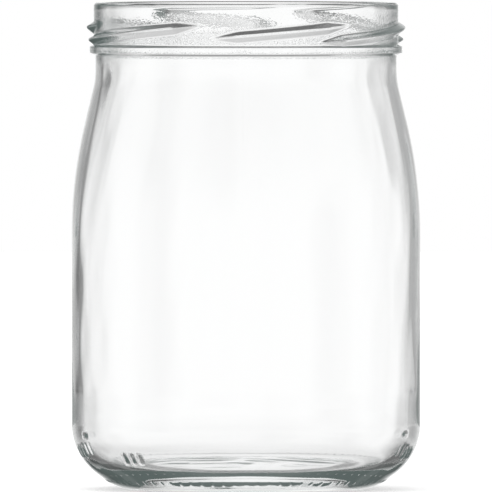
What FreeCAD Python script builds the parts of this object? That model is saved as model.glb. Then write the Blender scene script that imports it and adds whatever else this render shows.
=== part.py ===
import FreeCAD, Part
import math
import os

import Sketcher

# Glass canning jar: one moulded piece of clear glass with a six-lug twist-off finish.
# Millimetres and degrees. +Z is up, and the origin is the middle of the base, on the surface
# that the jar stands on. The front is the -Y side, where one mould seam runs up the wall.
# Each radius steps in or out from the body's, and each height of the finish is counted down
# from the rim, so that the jar can be made wider or taller by one size.
SIZES = {
    # overall
    "jar_height": 125.6,
    "body_radius": 45.0,
    "body_wall": 2.3,
    # base: a narrow flat ring to stand on, a straight slope and a round heel
    "bearing_inset": 16.0,
    "bearing_width": 1.5,
    "bearing_round": 11.7,
    "base_slope": 35.8,
    "heel_round": 16.0,
    "push_up": 2.8,
    # shoulder and neck: the drop is from the rim to the corner of the slope and the neck
    "shoulder_drop": 19.688,
    "shoulder_round": 120.0,
    "shoulder_angle": 13.4,
    "shoulder_step": 6.15,
    "neck_blend": 20.0,
    # cavity
    "floor_height": 6.6,
    "floor_dome": 350.0,
    "inner_heel_round": 12.5,
    "inner_shoulder_lead": 1.5,
    "neck_wall": 2.85,
    "mouth_depth": 7.0,
    "rim_width": 2.8,
    # finish: the threaded top with its bead
    "finish_step": 0.45,
    "bead_relief": 1.5,
    "bead_drop": 10.8,
    "bead_height": 2.1,
    "bead_round": 0.6,
    "rim_round": 0.9,
    # lugs: short runs of a coarse right-hand thread
    "lug_relief": 1.8,
    "lug_bury": 0.3,
    "lug_crest_round": 0.45,
    "lug_upper_flank": 32.0,
    "lug_lower_flank": 39.0,
    "lug_drop": 5.8,
    "lug_lead": 21.6,
    "lug_sweep": 71.0,
    "seam_lug_sweep": 53.0,
    "lug_taper": 8.0,
    "lug_spacing": 60.0,
    "first_lug_angle": -79.0,
    # knurl: short raised bars round the edge of the base plate
    "knurl_count": 78,
    "knurl_length": 1.6,
    "knurl_width": 0.8,
    "knurl_relief": 0.25,
}

# Where the finish starts and how far out each round part stands, as formulas of the sheet.
BEARING_RADIUS = "(Sizes.body_radius - Sizes.bearing_inset)"
NECK_RADIUS = "(Sizes.body_radius - Sizes.shoulder_step)"
FINISH_RADIUS = "(Sizes.body_radius - Sizes.shoulder_step + Sizes.finish_step)"
BEAD_TOP = "(Sizes.jar_height - Sizes.bead_drop)"
WALL_TOP = (
    "(Sizes.jar_height - Sizes.shoulder_drop - Sizes.shoulder_step / tan(Sizes.shoulder_angle)"
    " - Sizes.shoulder_round * tan(Sizes.shoulder_angle / 2))")


def make_sheet(document):
    """Write the driving sizes into a spreadsheet, one alias to a row."""
    sheet = document.addObject("Spreadsheet::Sheet", "Sizes")
    for row, (name, value) in enumerate(SIZES.items(), start=1):
        sheet.set(f"A{row}", name)
        sheet.set(f"B{row}", str(value))
        sheet.setAlias(f"B{row}", name)
    document.recompute()
    return sheet


def origin_plane(body, role):
    """The body's own origin plane with this role."""
    for feature in body.Origin.OriginFeatures:
        if feature.Role == role:
            return feature


def make_sketch(body, name, role, offset=None):
    """A sketch on one of the body's origin planes, moved off it by a placement."""
    sketch = body.newObject("Sketcher::SketchObject", name)
    sketch.AttachmentSupport = [(origin_plane(body, role), "")]
    sketch.MapMode = "FlatFace"
    if offset:
        sketch.AttachmentOffset = offset
    return sketch


def dimension(sketch, name, formula, *constraint):
    """A driving dimension with its own name, bound to the sheet by a formula."""
    index = sketch.addConstraint(Sketcher.Constraint(*constraint))
    sketch.renameConstraint(index, name)
    sketch.setExpression("Constraints." + name, formula)


def horizontal_size(sketch, name, formula, geometry, point):
    """A point's distance from the sketch's vertical axis."""
    value = sketch.getPoint(geometry, point).x
    dimension(sketch, name, formula, "DistanceX", -1, 1, geometry, point, value)


def vertical_size(sketch, name, formula, geometry, point):
    """A point's height above the sketch's horizontal axis."""
    value = sketch.getPoint(geometry, point).y
    dimension(sketch, name, formula, "DistanceY", -1, 1, geometry, point, value)


def radius_size(sketch, name, formula, geometry):
    """The radius of an arc."""
    value = sketch.Geometry[geometry].Radius
    dimension(sketch, name, formula, "Radius", geometry, value)


def draw_outline(sketch, pieces):
    """Draw a closed outline and return each piece as (geometry, first point, last point).

    Each piece is (name, end, centre, joint): centre is None for a line, and joint says whether
    the piece runs smoothly on from the one before it or meets it at a corner.
    """
    drawn = {}
    ends = [FreeCAD.Vector(*piece[1], 0) for piece in pieces]
    for index, (name, _, centre, _) in enumerate(pieces):
        start = ends[index - 1]
        end = ends[index]
        if centre is None:
            curve = Part.LineSegment(start, end)
        else:
            middle = FreeCAD.Vector(*centre, 0)
            half_way = (start - middle).normalize() + (end - middle).normalize()
            crown = middle + half_way.normalize() * (start - middle).Length
            curve = Part.Arc(start, crown, end)
        geometry = sketch.addGeometry(curve)
        forward = sketch.getPoint(geometry, 1).distanceToPoint(start) < 1e-3
        drawn[name] = (geometry, 1, 2) if forward else (geometry, 2, 1)
    names = list(drawn)
    for index, (name, _, _, joint) in enumerate(pieces):
        before, _, before_last = drawn[names[index - 1]]
        geometry, first, _ = drawn[name]
        kind = "Tangent" if joint == "smooth" else "Coincident"
        sketch.addConstraint(Sketcher.Constraint(kind, before, before_last, geometry, first))
    return drawn


def add_directions(sketch, drawn, horizontal, vertical):
    """Hold the named lines level or upright."""
    for name in horizontal:
        sketch.addConstraint(Sketcher.Constraint("Horizontal", drawn[name][0]))
    for name in vertical:
        sketch.addConstraint(Sketcher.Constraint("Vertical", drawn[name][0]))


def wall_top_height(size):
    """Where the upright wall ends, worked down the shoulder from the corner at the neck."""
    angle = math.radians(size["shoulder_angle"])
    corner = size["jar_height"] - size["shoulder_drop"]
    arc_corner = corner - size["shoulder_step"] / math.tan(angle)
    return arc_corner - size["shoulder_round"] * math.tan(angle / 2)


def slope_and_blend(size, wall_radius, wall_top, arc_radius, neck_radius, blend_radius):
    """Corner points of a shoulder: arc end, slope end, neck start and the two arcs' centres."""
    angle = math.radians(size["shoulder_angle"])
    arc_centre = (wall_radius - arc_radius, wall_top)
    arc_end = (arc_centre[0] + arc_radius * math.cos(angle), wall_top + arc_radius * math.sin(angle))
    blend_x = neck_radius + blend_radius
    slope_x = blend_x - blend_radius * math.cos(angle)
    slope_z = arc_end[1] + (arc_end[0] - slope_x) / math.tan(angle)
    neck_z = slope_z + blend_radius * math.sin(angle)
    return arc_centre, arc_end, (slope_x, slope_z), (neck_radius, neck_z), (blend_x, neck_z)


def draw_outside(body, size):
    """The jar's outer form in section, from the base's middle round to the rim's middle."""
    sketch = make_sketch(body, "outside_section", "XZ_Plane")
    height = size["jar_height"]
    wall = size["body_radius"]
    neck = wall - size["shoulder_step"]
    finish = neck + size["finish_step"]
    bead = neck + size["bead_relief"]
    bead_top = height - size["bead_drop"]
    bead_base = bead_top - size["bead_height"]
    round_off = size["bead_round"]
    bead_inset = bead - round_off
    rim = size["rim_round"]
    bearing = wall - size["bearing_inset"]
    inner_bearing = bearing - size["bearing_width"]
    slope = math.radians(size["base_slope"])
    normal = (math.sin(slope), -math.cos(slope))
    base_centre = (bearing, size["bearing_round"])
    base_end = [c + size["bearing_round"] * n for c, n in zip(base_centre, normal)]
    heel = size["heel_round"]
    heel_x = wall - heel
    line_distance = base_end[0] * normal[0] + base_end[1] * normal[1]
    heel_z = (heel_x * normal[0] + heel - line_distance) / -normal[1]
    heel_start = (heel_x + heel * normal[0], heel_z + heel * normal[1])
    dome_radius = (inner_bearing ** 2 + size["push_up"] ** 2) / (2 * size["push_up"])
    wall_top = wall_top_height(size)
    arc_centre, arc_end, slope_end, neck_start, blend_centre = slope_and_blend(
        size, wall, wall_top, size["shoulder_round"], neck, size["neck_blend"])
    drawn = draw_outline(sketch, [
        ("axis", (0, size["push_up"]), None, "corner"),
        ("push_up", (inner_bearing, 0), (0, size["push_up"] - dome_radius), "corner"),
        ("bearing", (bearing, 0), None, "corner"),
        ("base_curve", base_end, base_centre, "smooth"),
        ("base_slope", heel_start, None, "smooth"),
        ("heel", (wall, heel_z), (heel_x, heel_z), "smooth"),
        ("wall", (wall, wall_top), None, "smooth"),
        ("shoulder", arc_end, arc_centre, "smooth"),
        ("shoulder_slope", slope_end, None, "smooth"),
        ("neck_blend", neck_start, blend_centre, "smooth"),
        ("neck", (neck, bead_base), None, "smooth"),
        ("bead_base", (bead_inset, bead_base), None, "corner"),
        ("bead_lower_round", (bead, bead_base + round_off), (bead_inset, bead_base + round_off), "smooth"),
        ("bead_face", (bead, bead_top - round_off), None, "smooth"),
        ("bead_upper_round", (bead_inset, bead_top), (bead_inset, bead_top - round_off), "smooth"),
        ("bead_top", (finish, bead_top), None, "smooth"),
        ("finish_wall", (finish, height - rim), None, "corner"),
        ("rim_round", (finish - rim, height), (finish - rim, height - rim), "smooth"),
        ("rim_top", (0, height), None, "smooth"),
    ])
    add_directions(
        sketch, drawn,
        ["bearing", "bead_base", "bead_top", "rim_top"],
        ["wall", "neck", "bead_face", "finish_wall"])
    axis, axis_first, axis_last = drawn["axis"]
    dome, _, dome_last = drawn["push_up"]
    for geometry, point in ((axis, axis_first), (axis, axis_last), (dome, 3)):
        sketch.addConstraint(Sketcher.Constraint("PointOnObject", geometry, point, -2))
    sketch.addConstraint(Sketcher.Constraint("PointOnObject", dome, dome_last, -1))
    vertical_size(sketch, "push_up", "Sizes.push_up", axis, axis_last)
    horizontal_size(sketch, "bearing_inner", BEARING_RADIUS + " - Sizes.bearing_width", dome, dome_last)
    bearing_line, _, bearing_last = drawn["bearing"]
    horizontal_size(sketch, "bearing_outer", BEARING_RADIUS, bearing_line, bearing_last)
    radius_size(sketch, "bearing_round", "Sizes.bearing_round", drawn["base_curve"][0])
    slope_line = drawn["base_slope"][0]
    dimension(sketch, "base_slope", "Sizes.base_slope", "Angle", slope_line, slope)
    radius_size(sketch, "heel_round", "Sizes.heel_round", drawn["heel"][0])
    wall_line, _, wall_last = drawn["wall"]
    horizontal_size(sketch, "wall_radius", "Sizes.body_radius", wall_line, wall_last)
    vertical_size(sketch, "wall_top", WALL_TOP, wall_line, wall_last)
    radius_size(sketch, "shoulder_round", "Sizes.shoulder_round", drawn["shoulder"][0])
    lean = math.pi / 2 + math.radians(size["shoulder_angle"])
    dimension(
        sketch, "shoulder_lean", "90 + Sizes.shoulder_angle", "Angle", drawn["shoulder_slope"][0], lean)
    radius_size(sketch, "neck_blend", "Sizes.neck_blend", drawn["neck_blend"][0])
    neck_line, _, neck_last = drawn["neck"]
    horizontal_size(sketch, "neck_radius", NECK_RADIUS, neck_line, neck_last)
    vertical_size(sketch, "bead_base_height", BEAD_TOP + " - Sizes.bead_height", neck_line, neck_last)
    bead_line, _, bead_last = drawn["bead_face"]
    horizontal_size(sketch, "bead_radius", NECK_RADIUS + " + Sizes.bead_relief", bead_line, bead_last)
    radius_size(sketch, "bead_lower_round", "Sizes.bead_round", drawn["bead_lower_round"][0])
    radius_size(sketch, "bead_upper_round", "Sizes.bead_round", drawn["bead_upper_round"][0])
    top_line, _, top_last = drawn["bead_top"]
    vertical_size(sketch, "bead_top_height", BEAD_TOP, top_line, top_last)
    horizontal_size(sketch, "finish_radius", FINISH_RADIUS, top_line, top_last)
    radius_size(sketch, "rim_round", "Sizes.rim_round", drawn["rim_round"][0])
    rim_line, _, rim_last = drawn["rim_top"]
    vertical_size(sketch, "jar_height", "Sizes.jar_height", rim_line, rim_last)
    return sketch


def draw_cavity(body, size):
    """The inside in section: domed floor, round inner heel, wall, shoulder, neck and mouth."""
    sketch = make_sketch(body, "cavity_section", "XZ_Plane")
    height = size["jar_height"]
    wall = size["body_radius"] - size["body_wall"]
    neck = size["body_radius"] - size["shoulder_step"] - size["neck_wall"]
    mouth = size["body_radius"] - size["shoulder_step"] + size["finish_step"] - size["rim_width"]
    rim = size["rim_round"]
    clear_top = height + rim
    heel = size["inner_heel_round"]
    dome = size["floor_dome"]
    heel_x = wall - heel
    dome_z = size["floor_height"] - dome
    heel_z = dome_z + math.sqrt((dome + heel) ** 2 - heel_x ** 2)
    share = dome / (dome + heel)
    floor_end = (heel_x * share, dome_z + (heel_z - dome_z) * share)
    wall_top = wall_top_height(size) - size["inner_shoulder_lead"]
    arc_centre, arc_end, slope_end, neck_start, blend_centre = slope_and_blend(
        size, wall, wall_top, size["shoulder_round"] - size["body_wall"],
        neck, size["neck_blend"] + size["neck_wall"])
    drawn = draw_outline(sketch, [
        ("axis", (0, size["floor_height"]), None, "corner"),
        ("floor", floor_end, (0, dome_z), "corner"),
        ("heel", (wall, heel_z), (heel_x, heel_z), "smooth"),
        ("wall", (wall, wall_top), None, "smooth"),
        ("shoulder", arc_end, arc_centre, "smooth"),
        ("shoulder_slope", slope_end, None, "smooth"),
        ("neck_blend", neck_start, blend_centre, "smooth"),
        ("neck", (neck, height - size["mouth_depth"]), None, "smooth"),
        ("mouth_flare", (mouth, height - rim), None, "corner"),
        ("rim_round", (mouth + rim, height), (mouth + rim, height - rim), "smooth"),
        ("clearance_side", (mouth + rim, clear_top), None, "corner"),
        ("clearance_top", (0, clear_top), None, "corner"),
    ])
    add_directions(sketch, drawn, ["clearance_top"], ["wall", "neck", "clearance_side"])
    axis, axis_first, axis_last = drawn["axis"]
    floor = drawn["floor"][0]
    for geometry, point in ((axis, axis_first), (axis, axis_last), (floor, 3)):
        sketch.addConstraint(Sketcher.Constraint("PointOnObject", geometry, point, -2))
    vertical_size(sketch, "floor_height", "Sizes.floor_height", axis, axis_last)
    radius_size(sketch, "floor_dome", "Sizes.floor_dome", floor)
    radius_size(sketch, "heel_round", "Sizes.inner_heel_round", drawn["heel"][0])
    wall_line, _, wall_last = drawn["wall"]
    horizontal_size(sketch, "wall_radius", "Sizes.body_radius - Sizes.body_wall", wall_line, wall_last)
    vertical_size(sketch, "wall_top", WALL_TOP + " - Sizes.inner_shoulder_lead", wall_line, wall_last)
    radius_size(sketch, "shoulder_round", "Sizes.shoulder_round - Sizes.body_wall", drawn["shoulder"][0])
    lean = math.pi / 2 + math.radians(size["shoulder_angle"])
    dimension(
        sketch, "shoulder_lean", "90 + Sizes.shoulder_angle", "Angle", drawn["shoulder_slope"][0], lean)
    radius_size(sketch, "neck_blend", "Sizes.neck_blend + Sizes.neck_wall", drawn["neck_blend"][0])
    neck_line, _, neck_last = drawn["neck"]
    horizontal_size(sketch, "neck_radius", NECK_RADIUS + " - Sizes.neck_wall", neck_line, neck_last)
    vertical_size(sketch, "flare_start", "Sizes.jar_height - Sizes.mouth_depth", neck_line, neck_last)
    rim_arc, rim_first, rim_last = drawn["rim_round"]
    horizontal_size(sketch, "mouth_radius", FINISH_RADIUS + " - Sizes.rim_width", rim_arc, rim_first)
    radius_size(sketch, "rim_round", "Sizes.rim_round", rim_arc)
    sketch.addConstraint(Sketcher.Constraint("Vertical", rim_arc, 3, rim_arc, rim_last))
    vertical_size(sketch, "jar_height", "Sizes.jar_height", rim_arc, rim_last)
    top_line, _, top_last = drawn["clearance_top"]
    vertical_size(sketch, "clearance", "Sizes.jar_height + Sizes.rim_round", top_line, top_last)
    return sketch


def turned_placement(height, angle, axis):
    """An offset from an origin plane: so far up it, and turned about one of its directions."""
    return FreeCAD.Placement(FreeCAD.Vector(0, 0, height), FreeCAD.Rotation(FreeCAD.Vector(*axis), angle))


def draw_lug_section(body, name, size, angle, crest_height, angle_formula, crest_formula):
    """A lug's section where it starts: a rounded crest, two sloping flanks and a buried root.

    Each flank's angle is counted from the radial direction.
    """
    sketch = make_sketch(body, name, "XZ_Plane", turned_placement(0, angle, (0, 1, 0)))
    sketch.setExpression("AttachmentOffset.Rotation.Angle", angle_formula)
    finish = size["body_radius"] - size["shoulder_step"] + size["finish_step"]
    root = finish - size["lug_bury"]
    crest_round = size["lug_crest_round"]
    centre = (finish + size["lug_relief"] - crest_round, crest_height)
    upper = math.radians(size["lug_upper_flank"])
    lower = math.radians(size["lug_lower_flank"])
    top = (centre[0] + crest_round * math.sin(upper), centre[1] + crest_round * math.cos(upper))
    low = (centre[0] + crest_round * math.sin(lower), centre[1] - crest_round * math.cos(lower))
    root_top = (root, top[1] + (top[0] - root) * math.tan(upper))
    root_low = (root, low[1] - (low[0] - root) * math.tan(lower))
    drawn = draw_outline(sketch, [
        ("crest", top, centre, "smooth"),
        ("upper_flank", root_top, None, "smooth"),
        ("root", root_low, None, "corner"),
        ("lower_flank", low, None, "corner"),
    ])
    add_directions(sketch, drawn, [], ["root"])
    crest = drawn["crest"][0]
    root_line, _, root_last = drawn["root"]
    reach = FINISH_RADIUS + " + Sizes.lug_relief - Sizes.lug_crest_round"
    horizontal_size(sketch, "crest_centre", reach, crest, 3)
    vertical_size(sketch, "crest_height", crest_formula, crest, 3)
    radius_size(sketch, "crest_round", "Sizes.lug_crest_round", crest)
    horizontal_size(sketch, "root_radius", FINISH_RADIUS + " - Sizes.lug_bury", root_line, root_last)
    upper_line = drawn["upper_flank"][0]
    lower_line = drawn["lower_flank"][0]
    dimension(sketch, "upper_flank", "180 - Sizes.lug_upper_flank", "Angle", upper_line, math.pi - upper)
    dimension(sketch, "lower_flank", "Sizes.lug_lower_flank", "Angle", lower_line, lower)
    return sketch


def slant_lug_end(body, name, size, angle, side, angle_formula):
    """Cut one end of a lug down to the wall, along a line that reaches the crest a taper away.

    The cut is a triangle seen from above. Its tip lies on the finish wall at the lug's end, and
    side is the way along the wall, +1 or -1, that leads back over the lug.
    """
    height = size["jar_height"] - size["bead_drop"]
    sketch = make_sketch(body, name + "_section", "XY_Plane", turned_placement(height, angle, (0, 0, 1)))
    sketch.setExpression("AttachmentOffset.Base.z", BEAD_TOP)
    sketch.setExpression("AttachmentOffset.Rotation.Angle", angle_formula)
    finish = size["body_radius"] - size["shoulder_step"] + size["finish_step"]
    crest = finish + size["lug_relief"]
    taper = math.radians(size["lug_taper"])
    past_crest = 2 * crest - finish
    drawn = draw_outline(sketch, [
        ("slant", (crest * math.cos(taper), side * crest * math.sin(taper)), None, "corner"),
        ("outer", (past_crest, -side * size["lug_relief"] / 2), None, "corner"),
        ("end", (finish, 0), None, "corner"),
    ])
    slant, slant_first, slant_last = drawn["slant"]
    outer, _, outer_last = drawn["outer"]
    crest_formula = f"({FINISH_RADIUS} + Sizes.lug_relief)"
    sketch.addConstraint(Sketcher.Constraint("PointOnObject", slant, slant_first, -1))
    horizontal_size(sketch, "wall_end", FINISH_RADIUS, slant, slant_first)
    horizontal_size(sketch, "crest_reach", crest_formula + " * cos(Sizes.lug_taper)", slant, slant_last)
    vertical_size(
        sketch, "crest_back", f"{side} * {crest_formula} * sin(Sizes.lug_taper)", slant, slant_last)
    horizontal_size(sketch, "outer_reach", FINISH_RADIUS + " + 2 * Sizes.lug_relief", outer, outer_last)
    vertical_size(sketch, "outer_forward", f"{-side} * Sizes.lug_relief / 2", outer, outer_last)
    cut = body.newObject("PartDesign::Pocket", name)
    cut.Profile = sketch
    cut.Reversed = True
    cut.setExpression("Length", "Sizes.bead_drop")
    return cut


def make_lug_pair(body, size, number, sweep_name):
    """One lug and its twin on the jar's other side."""
    name = f"lug_{number + 1}"
    end_angle = size["first_lug_angle"] + number * size["lug_spacing"] - 90
    sweep = size[sweep_name]
    fall = size["lug_lead"] * sweep / 360
    crest_height = size["jar_height"] - size["lug_drop"] - fall
    end_formula = f"Sizes.first_lug_angle + {number} * Sizes.lug_spacing - 90"
    start_formula = f"{end_formula} - Sizes.{sweep_name}"
    fall_formula = f"Sizes.lug_lead * Sizes.{sweep_name} / 360"
    crest_formula = f"Sizes.jar_height - Sizes.lug_drop - {fall_formula}"
    section = draw_lug_section(
        body, name + "_section", size, end_angle - sweep, crest_height, start_formula, crest_formula)
    lug = body.newObject("PartDesign::AdditiveHelix", name)
    lug.Profile = section
    lug.ReferenceAxis = (section, ["V_Axis"])
    lug.Mode = 0
    lug.setExpression("Pitch", "Sizes.lug_lead")
    lug.setExpression("Height", fall_formula)
    body.Document.recompute()
    upper = slant_lug_end(body, name + "_upper_end", size, end_angle, -1, end_formula)
    lower = slant_lug_end(body, name + "_lower_end", size, end_angle - sweep, 1, start_formula)
    body.Document.recompute()
    pair = body.newObject("PartDesign::PolarPattern", name + "_pair")
    pair.Originals = [lug, upper, lower]
    pair.Axis = (section, ["V_Axis"])
    pair.Angle = 360
    pair.Occurrences = 2
    body.Tip = pair
    body.Document.recompute()


def make_knurl(body, size):
    """A ring of short raised bars where the base plate's curve runs into the slope."""
    slope = math.radians(size["base_slope"])
    radius = size["body_radius"] - size["bearing_inset"] + size["bearing_round"] * math.sin(slope)
    height = size["bearing_round"] * (1 - math.cos(slope))
    turn = FreeCAD.Rotation(FreeCAD.Vector(0, -1, 0), size["base_slope"])
    offset = FreeCAD.Placement(FreeCAD.Vector(radius, 0, height), turn)
    sketch = make_sketch(body, "knurl_section", "XY_Plane", offset)
    sketch.setExpression(
        "AttachmentOffset.Base.x", BEARING_RADIUS + " + Sizes.bearing_round * sin(Sizes.base_slope)")
    sketch.setExpression("AttachmentOffset.Base.z", "Sizes.bearing_round * (1 - cos(Sizes.base_slope))")
    sketch.setExpression("AttachmentOffset.Rotation.Angle", "Sizes.base_slope")
    half_length = size["knurl_length"] / 2
    half_width = size["knurl_width"] / 2
    drawn = draw_outline(sketch, [
        ("outer", (half_length, half_width), None, "corner"),
        ("left", (-half_length, half_width), None, "corner"),
        ("inner", (-half_length, -half_width), None, "corner"),
        ("right", (half_length, -half_width), None, "corner"),
    ])
    add_directions(sketch, drawn, ["left", "right"], ["outer", "inner"])
    left, left_first, _ = drawn["left"]
    inner, _, inner_last = drawn["inner"]
    sketch.addConstraint(Sketcher.Constraint("Symmetric", left, left_first, inner, inner_last, -1, 1))
    horizontal_size(sketch, "half_length", "Sizes.knurl_length / 2", left, left_first)
    vertical_size(sketch, "half_width", "Sizes.knurl_width / 2", left, left_first)
    bar = body.newObject("PartDesign::Pad", "knurl_bar")
    bar.Profile = sketch
    bar.Midplane = True
    bar.setExpression("Length", "2 * Sizes.knurl_relief")
    body.Document.recompute()
    ring = body.newObject("PartDesign::PolarPattern", "knurl_ring")
    ring.Originals = [bar]
    ring.Axis = (origin_plane(body, "Z_Axis"), [""])
    ring.Angle = 360
    ring.setExpression("Occurrences", "Sizes.knurl_count")
    body.Tip = ring
    body.Document.recompute()


def revolve(body, kind, name, sketch):
    """Turn a half section once round the jar's axis."""
    feature = body.newObject(kind, name)
    feature.Profile = sketch
    feature.ReferenceAxis = (sketch, ["V_Axis"])
    feature.Angle = 360
    body.Document.recompute()
    return feature


def make_jar(document, size):
    """The whole jar as one body: blank, lugs, knurl, and last the cavity."""
    body = document.addObject("PartDesign::Body", "jar")
    body.Label = "jar"
    outside = draw_outside(body, size)
    document.recompute()
    revolve(body, "PartDesign::Revolution", "blank", outside)
    make_lug_pair(body, size, 0, "lug_sweep")
    make_lug_pair(body, size, 1, "lug_sweep")
    make_lug_pair(body, size, 2, "seam_lug_sweep")
    make_knurl(body, size)
    full_volume = body.Shape.Volume
    cavity = draw_cavity(body, size)
    document.recompute()
    revolve(body, "PartDesign::Groove", "cavity", cavity)
    document.recompute()
    if body.Shape.Volume > 0.5 * full_volume:
        raise RuntimeError("the cavity was not cut")
    body.Placement = FreeCAD.Placement()
    return body


def check(document, bodies):
    """Stop if any feature failed, a sketch is loose, or a piece is empty, broken or in parts."""
    for item in document.Objects:
        if "Invalid" in item.State or "Error" in item.State:
            raise RuntimeError(f"{item.Name} failed: {item.State}")
        if item.TypeId == "Sketcher::SketchObject" and not item.FullyConstrained:
            raise RuntimeError(f"{item.Name} is not fully constrained")
    for body in bodies:
        shape = body.Shape
        if shape.isNull() or not shape.isValid() or len(shape.Solids) != 1:
            raise RuntimeError(f"{body.Label} is not one valid solid")


def main():
    document = FreeCAD.newDocument("canning_jar")
    make_sheet(document)
    bodies = [make_jar(document, SIZES)]
    document.recompute()
    check(document, bodies)
    os.makedirs("parts", exist_ok=True)
    for body in bodies:
        body.Shape.exportStep(f"parts/{body.Label}.step")
        print(f"{body.Label}: {body.Shape.Volume / 1000:.2f} cm3, {len(body.Shape.Faces)} faces")


main()
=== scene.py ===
import math

import bpy
import numpy as np
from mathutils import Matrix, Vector


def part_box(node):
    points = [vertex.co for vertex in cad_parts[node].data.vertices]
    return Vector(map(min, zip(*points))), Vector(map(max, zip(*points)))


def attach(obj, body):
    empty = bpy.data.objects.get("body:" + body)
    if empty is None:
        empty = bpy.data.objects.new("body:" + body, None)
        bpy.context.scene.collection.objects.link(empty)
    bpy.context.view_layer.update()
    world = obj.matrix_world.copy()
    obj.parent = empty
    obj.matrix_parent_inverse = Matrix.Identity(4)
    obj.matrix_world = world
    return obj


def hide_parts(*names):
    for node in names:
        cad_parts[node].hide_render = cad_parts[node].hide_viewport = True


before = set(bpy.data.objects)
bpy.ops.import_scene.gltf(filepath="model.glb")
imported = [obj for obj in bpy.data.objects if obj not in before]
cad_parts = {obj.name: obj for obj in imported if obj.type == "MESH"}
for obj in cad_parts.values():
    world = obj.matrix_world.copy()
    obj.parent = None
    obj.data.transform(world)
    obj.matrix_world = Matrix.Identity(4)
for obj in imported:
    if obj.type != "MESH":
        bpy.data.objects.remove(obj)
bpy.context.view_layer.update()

# ---------------------------------------------------------------------------------------------
# The jar: one piece of clear soda-lime glass, pressed and blown in a mould of two halves that
# leaves a fine seam up each side. Six lugs of a coarse thread and a bead take a twist-off lid,
# and it stands on a narrow ring inside a knurled edge. Sizes are in millimetres and degrees.
# ---------------------------------------------------------------------------------------------
MM = 0.001
jar_low, jar_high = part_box("jar")
jar_middle = Vector(((jar_low.x + jar_high.x) / 2, (jar_low.y + jar_high.y) / 2, jar_low.z))
jar_height = (jar_high.z - jar_low.z) / MM
wall_radius = (jar_high.x - jar_low.x) / 2 / MM

# The finish: what the lid holds on to, with the bead below it.
shoulder_step = 6.15
finish_step = 0.45
finish_wall = 2.6
bead_relief = 1.5
bead_drop = 11.1
bead_height = 2.1
bead_side_rise = 0.2
bead_foot_drop = 0.35
bead_round = 0.3
rim_round = 0.9
rim_inset = 1.4
neck_radius = wall_radius - shoulder_step
finish_radius = neck_radius + finish_step
mouth_radius = finish_radius - finish_wall
bead_radius = neck_radius + bead_relief
bead_top = jar_height - bead_drop
bead_base = bead_top - bead_height

# The base: a shallow push-up, the ring that the jar stands on, and the slope up to the heel.
push_up = 1.8
ring_inner_inset = 16.5
ring_outer_inset = 16.0
ring_round = 11.7
base_corner_inset = 12.222
base_slope = math.radians(35.8)
heel_round = 16.0
ring_inner_radius = wall_radius - ring_inner_inset
base_corner_radius = wall_radius - base_corner_inset
heel_corner_height = (wall_radius - base_corner_radius) * math.tan(base_slope)

# The shoulder: a long round from the wall, a straight cone, and a blend into the neck.
shoulder_round = 120.0
shoulder_drop = 19.688
neck_blend = 20.0
shoulder_fall = math.tan(math.radians(13.4))
shoulder_corner_height = jar_height - shoulder_drop
shoulder_foot_height = shoulder_corner_height - shoulder_step / shoulder_fall

# The inside: the plunger's slight taper narrows the neck evenly down to the shoulder's cone.
wall_thickness = 2.3
inner_foot_lead = 3.3
inner_shoulder_round = 117.7
throat_round = 22.0
plunger_taper = math.tan(math.radians(3.8))
inner_foot_height = shoulder_foot_height - inner_foot_lead
throat_height = (
    wall_radius - wall_thickness + inner_foot_height * shoulder_fall
    - mouth_radius + jar_height * plunger_taper) / (shoulder_fall + plunger_taper)
throat_radius = mouth_radius - (jar_height - throat_height) * plunger_taper

# Low down, the wall swells into the thick heel, and a shallow crease divides heel and floor.
heel_thickness = 3.6
heel_swell_height = 26.0
heel_swell_round = 60.0
inner_heel_round = 12.0
floor_height = 5.4
floor_dome = 225.0
floor_corner_height = 6.4
floor_edge_radius = 26.0
crease_radius = 28.6
crease_depth = 0.07
floor_edge_height = (
    floor_height - floor_dome + math.sqrt(floor_dome ** 2 - floor_edge_radius ** 2))
crease_height = floor_edge_height + (floor_corner_height - floor_edge_height) * (
    (crease_radius - floor_edge_radius)
    / (wall_radius - heel_thickness - floor_edge_radius)) - crease_depth


def rounded_path(corners):
    """Rows (radius, height, columns) along straight runs with rounded corners.

    Each corner is (radius, height, rounding, step on the run to it, step round it, columns).
    """
    rows = [(corners[0][0], corners[0][1], corners[0][5])]
    at = np.array(corners[0][:2])
    for before, corner, after in zip(corners, corners[1:], corners[2:] + [None]):
        here = np.array(corner[:2])
        rounding, run_step, arc_step, columns = corner[2:]
        way_in = (here - at) / np.linalg.norm(here - at)
        if after is None or rounding == 0:
            reach = 0.0
        else:
            way_out = np.array(after[:2]) - here
            way_out = way_out / np.linalg.norm(way_out)
            turn = math.atan2(way_in[0] * way_out[1] - way_in[1] * way_out[0], way_in @ way_out)
            reach = rounding * math.tan(abs(turn) / 2)
        arc_start = here - way_in * reach
        count = max(1, round(np.linalg.norm(arc_start - at) / run_step))
        for share in np.linspace(0, 1, count + 1)[1:]:
            rows.append((*(at + (arc_start - at) * share), columns))
        at = arc_start
        if reach:
            side = math.copysign(1, turn)
            centre = arc_start + side * rounding * np.array((-way_in[1], way_in[0]))
            spoke = arc_start - centre
            count = max(2, round(rounding * abs(turn) / arc_step))
            for angle in np.linspace(0, turn, count + 1)[1:]:
                turned = (spoke[0] * math.cos(angle) - spoke[1] * math.sin(angle),
                          spoke[0] * math.sin(angle) + spoke[1] * math.cos(angle))
                rows.append((*(centre + turned), columns))
            at = centre + np.array(turned)
    return rows


def dome_rows(radii, crown, dome_radius):
    """Rows of a shallow round dome, from its radii and the columns that each of them has."""
    return [(radius, crown - dome_radius + math.sqrt(dome_radius ** 2 - radius ** 2), columns)
            for radius, columns in radii]


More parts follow.
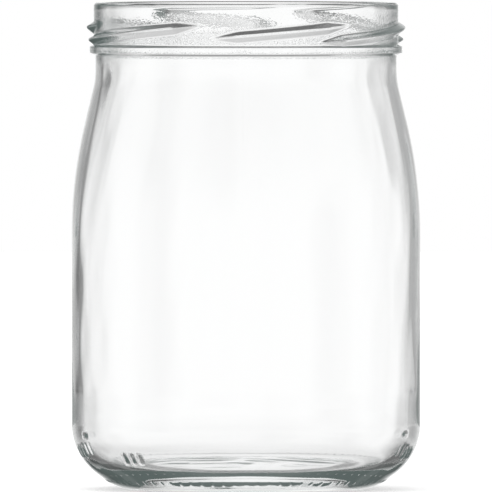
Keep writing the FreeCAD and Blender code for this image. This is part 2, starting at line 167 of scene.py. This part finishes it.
# The jar's section is walked from the middle of the base up the outside, over the rim and
# down the inside to the middle of the floor. Rings have as many columns as their detail needs.
KNURL_COUNT = 78
FINE = KNURL_COUNT * 12
PLAIN = KNURL_COUNT * 6
BROAD = KNURL_COUNT * 3
COARSE = KNURL_COUNT
KNURL_LENGTH = 1.3
KNURL_WIDTH = 0.5
KNURL_RELIEF = 0.09
KNURL_EDGE = 0.15
KNURL_END = 0.25
KNURL_ROWS_START = 2
LUG_ROWS_END = 4.0
KNURL_MARGIN = 1.2
knurl_radius = wall_radius - ring_outer_inset + ring_round * math.sin(base_slope)
knurl_height = ring_round * (1 - math.cos(base_slope))
push_up_dome = (ring_inner_radius ** 2 + push_up ** 2) / (2 * push_up)
base_rows = dome_rows(
    [(3, COARSE), (6, COARSE), (9, COARSE), (12, BROAD), (15, BROAD), (18, BROAD), (21, BROAD),
     (24, PLAIN), (26, PLAIN), (27.5, PLAIN)], push_up, push_up_dome)
outside_rows = rounded_path([
    (ring_inner_radius, 0.0, 0, 1, 1, PLAIN),
    (base_corner_radius, 0.0, ring_round, 0.5, 0.42, FINE),
    (knurl_radius + KNURL_MARGIN, knurl_height + KNURL_MARGIN * math.tan(base_slope), 0, 0.42, 1, FINE),
    (wall_radius, heel_corner_height, heel_round, 0.6, 0.5, PLAIN),
    (wall_radius, shoulder_foot_height, shoulder_round, 3.5, 2.5, BROAD),
    (neck_radius, shoulder_corner_height, neck_blend, 2.0, 1.0, BROAD),
    (neck_radius, bead_base - bead_foot_drop, bead_round, 1.0, 0.16, BROAD),
    (bead_radius, bead_base + bead_side_rise, bead_round, 0.3, 0.12, BROAD),
    (bead_radius, bead_top - bead_side_rise, bead_round, 0.4, 0.12, BROAD),
    (finish_radius, bead_top + bead_side_rise, bead_round, 0.16, 0.12, PLAIN),
    (finish_radius, jar_height - LUG_ROWS_END, 0, 0.155, 1, PLAIN),
    (finish_radius, jar_height, rim_round, 0.8, 0.24, BROAD),
    (finish_radius - rim_inset, jar_height, 0, 0.3, 1, BROAD),
])
# Only the rows that cross the knurl need its fine columns.
outside_rows = [
    (radius, height, PLAIN if columns == FINE and radius < knurl_radius - KNURL_ROWS_START else columns)
    for radius, height, columns in outside_rows]
inside_rows = rounded_path([
    (finish_radius - rim_inset, jar_height, 0, 1, 1, BROAD),
    (mouth_radius, jar_height, rim_round, 0.3, 0.24, BROAD),
    (throat_radius, throat_height, throat_round, 1.2, 0.7, BROAD),
    (wall_radius - wall_thickness, inner_foot_height, inner_shoulder_round, 2.5, 2.5, BROAD),
    (wall_radius - wall_thickness, heel_swell_height, heel_swell_round, 4.0, 1.5, BROAD),
    (wall_radius - heel_thickness, floor_corner_height, inner_heel_round, 2.0, 0.7, BROAD),
    (crease_radius, crease_height, 0, 0.4, 1, BROAD),
    (floor_edge_radius, floor_edge_height, 0, 0.4, 1, BROAD),
])[1:]
floor_rows = dome_rows(
    [(24, BROAD), (22.6, BROAD), (21.3, BROAD), (20, BROAD), (18, BROAD), (16, BROAD),
     (14, BROAD), (12, BROAD), (10, COARSE), (8, COARSE), (6, COARSE), (4, COARSE), (2, COARSE)],
    floor_height, floor_dome)
rows = base_rows + outside_rows + inside_rows + floor_rows
row_radius = np.array([row[0] for row in rows])
row_height = np.array([row[1] for row in rows])
row_columns = [row[2] for row in rows]
row_inside = np.arange(len(rows)) >= len(base_rows) + len(outside_rows)

# Each row's outward normal, square to the section's line.
along_radius = np.gradient(np.concatenate(([0.0], row_radius, [0.0])))[1:-1]
along_height = np.gradient(np.concatenate(([push_up], row_height, [floor_height])))[1:-1]
along = np.hypot(along_radius, along_height)
normal_radius = along_height / along
normal_height = -along_radius / along


def soft_step(value, low, high):
    """0 below low, 1 above high, and smooth between."""
    share = np.clip((value - low) / (high - low), 0, 1)
    return share * share * (3 - 2 * share)


def turn_between(angle, other):
    """The signed turn from other to angle, between -180 and 180 degrees."""
    return (angle - other + 180) % 360 - 180


# Lugs: each rises to the right as a right-hand thread does, and thins out at both ends.
LUG_LEAD = 21.6
LUG_RELIEF = 1.8
LUG_CREST_ROUND = 0.45
LUG_UPPER_FLANK = math.radians(32)
LUG_LOWER_FLANK = math.radians(39)
LUG_TAPER = 11.0
LUG_BLUNT_END = 0.22
LUG_ROOT = 0.35
lug_top_crest = jar_height - 5.8
# Six lugs, 60 degrees apart: the two over the mould's seams are shorter.
LUG_COUNT = 6
LUG_SWEEPS = (71, 71, 53)
lugs = [(-79 + number * 360 / LUG_COUNT, LUG_SWEEPS[number % 3]) for number in range(LUG_COUNT)]


def lug_relief(angle, height):
    """How far the lugs stand off the finish wall at these angles, for one height."""
    relief = np.full_like(angle, -1.0)
    crest_centre = LUG_RELIEF - LUG_CREST_ROUND
    for end_angle, sweep in lugs:
        back = -turn_between(angle, end_angle)
        crest = lug_top_crest - LUG_LEAD * back / 360
        rise = height - crest
        flank = np.where(rise > 0, LUG_UPPER_FLANK, LUG_LOWER_FLANK)
        off = np.abs(rise)
        tangent_rise = LUG_CREST_ROUND * np.cos(flank)
        tangent_relief = crest_centre + LUG_CREST_ROUND * np.sin(flank)
        round_part = crest_centre + np.sqrt(np.maximum(LUG_CREST_ROUND ** 2 - off ** 2, 0))
        flank_part = tangent_relief - (off - tangent_rise) / np.tan(flank)
        section = np.where(off < tangent_rise, round_part, flank_part)
        ends = np.clip(np.minimum(back, sweep - back) / LUG_TAPER + LUG_BLUNT_END, 0, 1)
        relief = np.maximum(relief, section - (LUG_RELIEF + 0.3) * (1 - ends))
    return relief


def blended_maximum(first, second, blend):
    """The larger of two heights, with a smooth root where they meet."""
    near = np.clip(0.5 + 0.5 * (first - second) / blend, 0, 1)
    return second + (first - second) * near + blend * near * (1 - near)


def waves(seed, count, shortest, longest, x, y, height=0.0, height_share=0.0):
    """A smooth uneven field from plain waves, about -1 to 1, with lengths in millimetres."""
    random = np.random.default_rng(seed)
    field = 0.0
    for _ in range(count):
        length = shortest * (longest / shortest) ** random.random()
        direction, phase = random.random(2) * math.tau
        along = x * math.cos(direction) + y * math.sin(direction)
        along = along + height * height_share * random.normal()
        field = field + np.sin(math.tau * along / length + phase)
    return field / math.sqrt(count)


# Where the mould's halves meet, a fine ridge stands in a shallow dip.
SEAM_RELIEF = 0.08
SEAM_WIDTH = 0.3
SEAM_DIP_WIDTH = 1.2
SEAM_ANGLES = (-360 / BROAD, 180 - 360 / BROAD)

# Plain raised bars on the heel, in rows of three alike, with a single level bar above the outer
# rows: each has its angle, its height, its width round the ring and its length up it.
MARK_RELIEF = 0.35
MARK_ROUND = 1.0
MARK_WIDTH, MARK_LENGTH = 1.2, 2.6
MARK_ROWS = [((-46.5, -43.0, -39.5), 8.6), ((-79.5, -76.0, -72.5), 10.0), ((70.5, 74.0, 77.5), 9.6)]
MARKS = [(angle, height, MARK_WIDTH, MARK_LENGTH) for angles, height in MARK_ROWS for angle in angles]
MARKS += [(-68.0, 14.2, 3.0, 1.0), (66.0, 14.6, 3.0, 1.0)]
MARK_CENTRES = (-44, -74, 72)


def crowd_to_details(angle):
    """The columns' angles, drawn together beside each seam and mark so that these have a shape."""
    uniform = angle
    for centre in MARK_CENTRES:
        away = turn_between(uniform, centre)
        angle = angle - 0.45 * away * np.exp(-(away / 8) ** 2)
    apart = 360 / BROAD
    for seam in SEAM_ANGLES:
        away = turn_between(angle, seam)
        drawn_in = np.interp(
            away, np.array((-4, -2, -1, 0, 1, 2, 4)) * apart,
            (-4 * apart, -0.9, -0.4, 0, 0.4, 0.9, 4 * apart))
        angle = angle + drawn_in - np.clip(away, -4 * apart, 4 * apart)
    return angle


# Slight waves that blowing leaves on the inside of the wall, and pressing on the floor.
WALL_WAVE = 0.045
FLOOR_WAVE = 0.13

points = []
rings = []
for index, columns in enumerate(row_columns):
    angle = crowd_to_details(np.arange(columns) * 360 / columns)
    radius = np.full(columns, row_radius[index])
    height = np.full(columns, row_height[index])
    offset = np.zeros(columns)
    turn = np.radians(angle - 90)
    if not row_inside[index]:
        if row_height[index] > bead_top - 1.0:
            lug = lug_relief(angle, row_height[index])
            radius = blended_maximum(finish_radius + lug, radius, LUG_ROOT)
        distance = math.hypot(row_radius[index] - knurl_radius, row_height[index] - knurl_height)
        if distance < 2 * KNURL_LENGTH and row_height[index] < 10:
            pitch = 360 / KNURL_COUNT
            across = np.abs((angle + pitch / 2) % pitch - pitch / 2) * math.tau * knurl_radius / 360
            offset += KNURL_RELIEF * (
                (1 - soft_step(across, KNURL_WIDTH / 2 - KNURL_EDGE, KNURL_WIDTH / 2 + KNURL_EDGE))
                * (1 - soft_step(distance, KNURL_LENGTH / 2 - KNURL_END, KNURL_LENGTH / 2 + KNURL_END)))
        if 4 < row_height[index] < 18:
            for mark_angle, mark_height, wide, tall in MARKS:
                along_ring = np.abs(turn_between(angle, mark_angle)) * math.tau * row_radius[index] / 360
                up_heel = abs(row_height[index] - mark_height)
                beyond = np.hypot(
                    np.maximum(along_ring - (wide - MARK_ROUND) / 2, 0),
                    max(up_heel - (tall - MARK_ROUND) / 2, 0))
                offset += MARK_RELIEF * (1 - soft_step(beyond, 0.25, 0.75))
        for seam in SEAM_ANGLES:
            away = turn_between(angle, seam) * math.tau * row_radius[index] / 360
            if 20 < row_height[index] < bead_top - 1:
                offset += SEAM_RELIEF * (
                    np.exp(-(away / SEAM_WIDTH) ** 2) - np.exp(-(away / SEAM_DIP_WIDTH) ** 2))
    else:
        if 14 < row_height[index] < bead_base:
            x = wall_radius * np.cos(turn)
            y = wall_radius * np.sin(turn)
            strength = soft_step(row_height[index], 14, 30) * (
                1 - soft_step(row_height[index], shoulder_corner_height, bead_base))
            offset += WALL_WAVE * strength * waves(5, 30, 7.0, 24.0, x, y, height, 0.2)
        if row_radius[index] < 41 and row_height[index] < 12:
            x = row_radius[index] * np.cos(turn)
            y = row_radius[index] * np.sin(turn)
            fade = min(1.0, row_radius[index] / 8) * (1 - 0.93 * soft_step(row_radius[index], 18, 25))
            offset += FLOOR_WAVE * fade * waves(3, 24, 7.0, 22.0, x, y)
    radius = radius + offset * normal_radius[index]
    height = height + offset * normal_height[index]
    first = len(points)
    points.extend(zip(radius * np.cos(turn), radius * np.sin(turn), height))
    rings.append(np.arange(first, first + columns))
base_pole = len(points)
points.append((0.0, 0.0, push_up))
floor_pole = len(points)
points.append((0.0, 0.0, floor_height))


def band_faces(lower, upper):
    """Faces between two rings, where one may have a whole number of times the other's columns."""
    if len(lower) == len(upper):
        return np.column_stack((lower, np.roll(lower, -1), np.roll(upper, -1), upper)).tolist()
    flip = len(lower) > len(upper)
    few, many = (upper, lower) if flip else (lower, upper)
    ratio = len(many) // len(few)
    faces = []
    for place in range(len(few)):
        this, following = few[place], few[(place + 1) % len(few)]
        fan = [many[(place * ratio + step) % len(many)] for step in range(ratio + 1)]
        middle = ratio // 2
        made = [(this, fan[step + 1], fan[step]) for step in range(middle)]
        made.append((this, following, fan[middle]))
        made += [(following, fan[step + 1], fan[step]) for step in range(middle, ratio)]
        faces.extend(tuple(reversed(face)) if flip else face for face in made)
    return [tuple(int(v) for v in face) for face in faces]


faces = []
for lower, upper in zip(rings, rings[1:]):
    faces.extend(band_faces(lower, upper))
for place in range(len(rings[0])):
    faces.append((base_pole, int(rings[0][(place + 1) % len(rings[0])]), int(rings[0][place])))
for place in range(len(rings[-1])):
    faces.append((floor_pole, int(rings[-1][place]), int(rings[-1][(place + 1) % len(rings[-1])])))
jar_mesh = bpy.data.meshes.new("jar_glass")
jar_mesh.from_pydata((np.array(points) * MM + np.array(jar_middle)).tolist(), [], faces)
jar_mesh.polygons.foreach_set("use_smooth", [True] * len(jar_mesh.polygons))
jar_mesh.update()
jar_mesh.validate()
jar = bpy.data.objects.new("jar_glass", jar_mesh)
bpy.context.scene.collection.objects.link(jar)


def linear(hex_code):
    """An sRGB hex colour as linear red, green, blue and full alpha."""
    parts = [int(hex_code[place:place + 2], 16) / 255 for place in (0, 2, 4)]
    return [part / 12.92 if part <= 0.04045 else ((part + 0.055) / 1.055) ** 2.4
            for part in parts] + [1.0]


def add_node(tree, kind, values=None, links=None, **settings):
    """Add a node with its settings, its inputs' values and the links that feed it."""
    node = tree.nodes.new(kind)
    for name, setting in settings.items():
        setattr(node, name, setting)
    for socket, value in (values or {}).items():
        node.inputs[socket].default_value = value
    for socket, source in (links or {}).items():
        tree.links.new(source, node.inputs[socket])
    return node


# Clear soda-lime container glass, fire-finished outside: it takes its look from what it bends,
# and only its thick base shows the faint green of the iron in it. Where light is still inside
# after more than four mirrorings, the glass itself glows an even grey green: a painted glow
# that stands in for the room's light where the path would be cut off as black.
glass = bpy.data.materials.new("clear soda-lime glass")
glass.use_nodes = True
glass_tree = glass.node_tree
glass_tree.nodes.clear()
GRAIN = 0.0006
FINE_GRAIN = 0.00035
MOTTLE_DEPTH = 0.000027
MOST_MIRRORINGS = 4.5
# The plunger that presses the neck leaves its inside finely mottled, in grains of under 1 mm.
place = add_node(glass_tree, "ShaderNodeTexCoord")
grains = add_node(glass_tree, "ShaderNodeTexNoise", {
    "Scale": 1 / GRAIN, "Detail": 1.0, "Roughness": 0.5}, {"Vector": place.outputs["Object"]})
place_parts = add_node(glass_tree, "ShaderNodeSeparateXYZ", links={0: place.outputs["Object"]})
flat_place = add_node(glass_tree, "ShaderNodeCombineXYZ", links={
    0: place_parts.outputs["X"], 1: place_parts.outputs["Y"]})
out_from_axis = add_node(
    glass_tree, "ShaderNodeVectorMath", links={0: flat_place.outputs[0]}, operation="LENGTH")
inside_neck = add_node(glass_tree, "ShaderNodeMapRange", {
    "From Min": (finish_radius - 1.6) * MM, "From Max": (finish_radius - 2.0) * MM}, {
    0: out_from_axis.outputs["Value"]})
below_rim = add_node(glass_tree, "ShaderNodeMapRange", {
    "From Min": (jar_height - 1.8) * MM, "From Max": (jar_height - 3.2) * MM}, {0: place_parts.outputs["Z"]})
above_body = add_node(glass_tree, "ShaderNodeMapRange", {
    "From Min": (bead_base - 4.0) * MM, "From Max": (bead_base - 1.0) * MM}, {0: place_parts.outputs["Z"]})
fading_down = add_node(glass_tree, "ShaderNodeMapRange", {
    "From Min": (bead_top + 2.5) * MM, "From Max": (bead_top + 6.0) * MM}, {0: place_parts.outputs["Z"]})
neck_zone = add_node(glass_tree, "ShaderNodeMath", links={
    0: below_rim.outputs[0], 1: above_body.outputs[0]}, operation="MULTIPLY")
neck_inside = add_node(glass_tree, "ShaderNodeMath", links={
    0: neck_zone.outputs[0], 1: inside_neck.outputs[0]}, operation="MULTIPLY")
# Lower in the neck the grains are finer: too fine to make out, they only soften what lies behind.
fine_grains = add_node(glass_tree, "ShaderNodeTexNoise", {
    "Scale": 1 / FINE_GRAIN, "Detail": 1.0, "Roughness": 0.5}, {"Vector": place.outputs["Object"]})
both_grains = add_node(glass_tree, "ShaderNodeMix", links={
    0: fading_down.outputs[0], 2: fine_grains.outputs[0], 3: grains.outputs[0]}, data_type="FLOAT")
mottle = add_node(glass_tree, "ShaderNodeBump", {"Distance": MOTTLE_DEPTH}, {
    "Strength": neck_inside.outputs[0], "Height": both_grains.outputs[0]})
glass_path = add_node(glass_tree, "ShaderNodeLightPath")
# Painted glow: the glass emits grey green only on paths that have mirrored more than four times.
painted_glow_share = add_node(glass_tree, "ShaderNodeMath", {1: MOST_MIRRORINGS}, {
    0: glass_path.outputs["Glossy Depth"]}, operation="GREATER_THAN")
glass_shader = add_node(glass_tree, "ShaderNodeBsdfPrincipled", {
    "Base Color": linear("FFFFFF"), "Roughness": 0.0, "IOR": 1.52, "Transmission Weight": 1.0,
    "Emission Color": linear("5C6765")}, {
    "Emission Strength": painted_glow_share.outputs[0], "Normal": mottle.outputs[0]})
glass_tint = add_node(
    glass_tree, "ShaderNodeVolumeAbsorption", {"Color": linear("EEF7F5"), "Density": 10.0})
add_node(glass_tree, "ShaderNodeOutputMaterial", links={
    "Surface": glass_shader.outputs[0], "Volume": glass_tint.outputs[0]})
glass.cycles.emission_sampling = "NONE"
jar_mesh.materials.append(glass)
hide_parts("jar")
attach(jar, "root")

# ---------------------------------------------------------------------------------------------
# The floor: a broad matt sheet of pale card. It shows white, and keeps a soft shadow.
# ---------------------------------------------------------------------------------------------
FLOOR_REACH = 3.0
FLOOR_CLEARANCE = 0.00002
FLOOR_LIFT = 0.45
floor_mesh = bpy.data.meshes.new("pale_floor")
floor_level = jar_low.z - FLOOR_CLEARANCE
floor_mesh.from_pydata(
    [(x * FLOOR_REACH, y * FLOOR_REACH, floor_level)
     for x, y in ((-1, -1), (1, -1), (1, 1), (-1, 1))],
    [], [(0, 1, 2, 3)])
floor = bpy.data.objects.new("pale_floor", floor_mesh)
bpy.context.scene.collection.objects.link(floor)
card = bpy.data.materials.new("matt white card")
card.use_nodes = True
card_tree = card.node_tree
card_tree.nodes.clear()
card_path = add_node(card_tree, "ShaderNodeLightPath")
card_matt = add_node(card_tree, "ShaderNodeBsdfDiffuse", {"Color": linear("E6E6E6")})
card_lift = add_node(card_tree, "ShaderNodeMath", {1: FLOOR_LIFT}, {
    0: card_path.outputs["Is Camera Ray"]}, operation="MULTIPLY")
card_white = add_node(card_tree, "ShaderNodeEmission", {"Color": linear("FFFFFF")}, {
    "Strength": card_lift.outputs[0]})
card_sum = add_node(
    card_tree, "ShaderNodeAddShader", links={0: card_matt.outputs[0], 1: card_white.outputs[0]})
add_node(card_tree, "ShaderNodeOutputMaterial", links={"Surface": card_sum.outputs[0]})
floor_mesh.materials.append(card)
floor.visible_transmission = False
floor.visible_glossy = False

# ---------------------------------------------------------------------------------------------
# The studio: a white surround that the camera sees plain. Glass sees it too, with the dark
# gaps between its panels that draw the edges of clear glass, and a soft lamp hangs above.
# ---------------------------------------------------------------------------------------------
world = bpy.data.worlds.new("studio")
bpy.context.scene.world = world
world.use_nodes = True
studio = world.node_tree
studio.nodes.clear()


def set_stops(ramp_node, stops):
    """Give a ramp its greys by place from 0 to 1."""
    ramp = ramp_node.color_ramp
    ramp.interpolation = "EASE"
    while len(ramp.elements) < len(stops):
        ramp.elements.new(0.5)
    for element, (place, grey) in zip(ramp.elements, stops):
        element.position = place
        element.color = (grey, grey, grey, 1)


studio_way = add_node(studio, "ShaderNodeTexCoord")
way_parts = add_node(studio, "ShaderNodeSeparateXYZ", links={0: studio_way.outputs["Generated"]})
# How far the way points round from straight behind the jar, to the right, in turns.
bearing = add_node(studio, "ShaderNodeMath", links={
    0: way_parts.outputs["X"], 1: way_parts.outputs["Y"]}, operation="ARCTAN2")
bearing_place = add_node(studio, "ShaderNodeMath", {1: 1 / math.tau, 2: 0.5}, {
    0: bearing.outputs[0]}, operation="MULTIPLY_ADD")
# How far it points up or down, in half turns.
rise = add_node(studio, "ShaderNodeMath", links={0: way_parts.outputs["Z"]}, operation="ARCSINE")
rise_place = add_node(studio, "ShaderNodeMath", {1: 1 / math.pi, 2: 0.5}, {
    0: rise.outputs[0]}, operation="MULTIPLY_ADD")

# Each line of sight has a dark gap to its left and a paler one to its right, both about 30
# degrees off, where the walls of the jar bend that line. Each fades out to both sides.
GAP_OUTER_EDGE = 47
GAP_MIDDLE = 30
GAP_SIDE = 20
GAP_INNER_EDGE = 5
LEFT_GAP_GREY = 0.15
RIGHT_GAP_GREY = 0.40
GAP_SIDE_GREY = 0.50
GAPS = [(-GAP_OUTER_EDGE, 1.0), (-GAP_MIDDLE, LEFT_GAP_GREY), (-GAP_SIDE, GAP_SIDE_GREY),
        (-GAP_INNER_EDGE, 1.0), (GAP_INNER_EDGE, 1.0), (GAP_SIDE, GAP_SIDE_GREY),
        (GAP_MIDDLE, RIGHT_GAP_GREY), (GAP_OUTER_EDGE, 1.0)]
# The bench below shows white only straight behind the jar's thick base.
BENCH_GAPS = [(-42, 1.0), (-34, 0.45), (-26, 0.16), (-13, 0.10), (-9, 0.55), (-5, 1.0),
              (5, 1.0), (9, 0.55), (13, 0.10), (26, 0.16), (50, 0.30), (60, 1.0)]
# The grey by height: white beside the jar, darker overhead and on the bench below it.
HEIGHTS = [
    (-90, 0.90), (-72, 0.85), (-62, 0.40), (-50, 0.14), (-38, 0.12), (-33, 0.35), (-29, 0.80),
    (-25, 1.0), (0, 1.0), (10, 0.97), (20, 0.80), (27, 0.68), (40, 0.40), (56, 0.38), (72, 0.70),
    (90, 0.90)]


def panels_round(sights, gaps):
    """Stops of a ramp once round the jar, from each line of sight's bearing and depth of gaps."""
    stops = [(0, 1), (1, 1)]
    for sight, depth in sights:
        stops += [((sight + aside) / 360 + 0.5, 1 - depth * (1 - grey)) for aside, grey in gaps]
    return sorted(stops)


level_panels = add_node(studio, "ShaderNodeValToRGB", links={0: bearing_place.outputs[0]})
set_stops(level_panels, panels_round([(-90, 0.7), (0, 1.0)], GAPS))
slant_panels = add_node(studio, "ShaderNodeValToRGB", links={0: bearing_place.outputs[0]})
set_stops(slant_panels, panels_round([(-45, 0.6), (134, 0.6)], GAPS))
bench_panels = add_node(studio, "ShaderNodeValToRGB", links={0: bearing_place.outputs[0]})
set_stops(bench_panels, panels_round([(0, 1.0)], BENCH_GAPS))
heights = add_node(studio, "ShaderNodeValToRGB", links={0: rise_place.outputs[0]})
set_stops(heights, [(angle / 180 + 0.5, grey) for angle, grey in HEIGHTS])

# Each share goes from 0 at the first height above the horizon to 1 at the second.
SHARES = {"bench": (-8, -13), "slant": (-7, -11), "under": (-29, -35), "over": (15, 30)}
share = {
    name: add_node(studio, "ShaderNodeMapRange", {
        "From Min": math.radians(start), "From Max": math.radians(end)}, {0: rise.outputs[0]})
    for name, (start, end) in SHARES.items()}
bench_part = add_node(studio, "ShaderNodeMix", {6: (1, 1, 1, 1)}, {
    0: share["bench"].outputs[0], 7: bench_panels.outputs[0]}, data_type="RGBA")
side_panels = add_node(studio, "ShaderNodeMix", links={
    0: share["slant"].outputs[0], 6: level_panels.outputs[0], 7: slant_panels.outputs[0]},
    data_type="RGBA")
panels = add_node(studio, "ShaderNodeMix", {0: 1.0}, {
    6: side_panels.outputs[2], 7: bench_part.outputs[2]}, data_type="RGBA", blend_type="MULTIPLY")
# Far up and far down there are no gaps.
open_part = add_node(studio, "ShaderNodeMath", links={
    0: share["under"].outputs[0], 1: share["over"].outputs[0]}, operation="MAXIMUM")
opened = add_node(studio, "ShaderNodeMix", {7: (1, 1, 1, 1)}, {
    0: open_part.outputs[0], 6: panels.outputs[2]}, data_type="RGBA")
pattern = add_node(studio, "ShaderNodeMix", {0: 1.0}, {
    6: opened.outputs[2], 7: heights.outputs[0]}, data_type="RGBA", blend_type="MULTIPLY")
studio_path = add_node(studio, "ShaderNodeLightPath")
through_glass = add_node(studio, "ShaderNodeMath", links={
    0: studio_path.outputs["Is Glossy Ray"],
    1: studio_path.outputs["Is Transmission Ray"]}, operation="MAXIMUM")
seen = add_node(studio, "ShaderNodeMix", {6: (0.9, 0.9, 0.9, 1)}, {
    0: through_glass.outputs[0], 7: pattern.outputs[2]}, data_type="RGBA")
plain = add_node(studio, "ShaderNodeMix", {7: (1, 1, 1, 1)}, {
    0: studio_path.outputs["Is Camera Ray"], 6: seen.outputs[2]}, data_type="RGBA")
surround = add_node(studio, "ShaderNodeBackground", {"Strength": 1.0}, {"Color": plain.outputs[2]})
add_node(studio, "ShaderNodeOutputWorld", links={"Surface": surround.outputs[0]})

lamp_data = bpy.data.lights.new("soft_lamp", "AREA")
lamp_data.shape = "DISK"
lamp_data.size = 1.2
lamp_data.energy = 4.0
lamp = bpy.data.objects.new("soft_lamp", lamp_data)
lamp.location = (-0.3, -0.3, 1.4)
lamp.rotation_euler = (Vector((0, 0, 0.05)) - lamp.location).to_track_quat("-Z", "Y").to_euler()
lamp.visible_glossy = False
lamp.visible_transmission = False
bpy.context.scene.collection.objects.link(lamp)

# ---------------------------------------------------------------------------------------------
# The camera: a long lens from well back, level with the middle of the jar and looking down
# on it a little over one degree, so the rim and the base show as very flat ovals.
# ---------------------------------------------------------------------------------------------
VIEW_WIDTH = 0.12694
CAMERA_DISTANCE = 5.86
CAMERA_DROP = math.radians(1.15)
aim = jar_middle + Vector((0, 0, 62.75 * MM))
camera_data = bpy.data.cameras.new("camera")
camera_data.sensor_width = 36
camera_data.lens = 36 * CAMERA_DISTANCE / VIEW_WIDTH
camera_data.clip_end = 100
camera = bpy.data.objects.new("camera", camera_data)
camera.location = aim + CAMERA_DISTANCE * Vector((0, -math.cos(CAMERA_DROP), math.sin(CAMERA_DROP)))
camera.rotation_euler = (math.pi / 2 - CAMERA_DROP, 0, 0)
bpy.context.scene.collection.objects.link(camera)
bpy.context.scene.camera = camera
bpy.context.scene.view_settings.view_transform = "Standard"
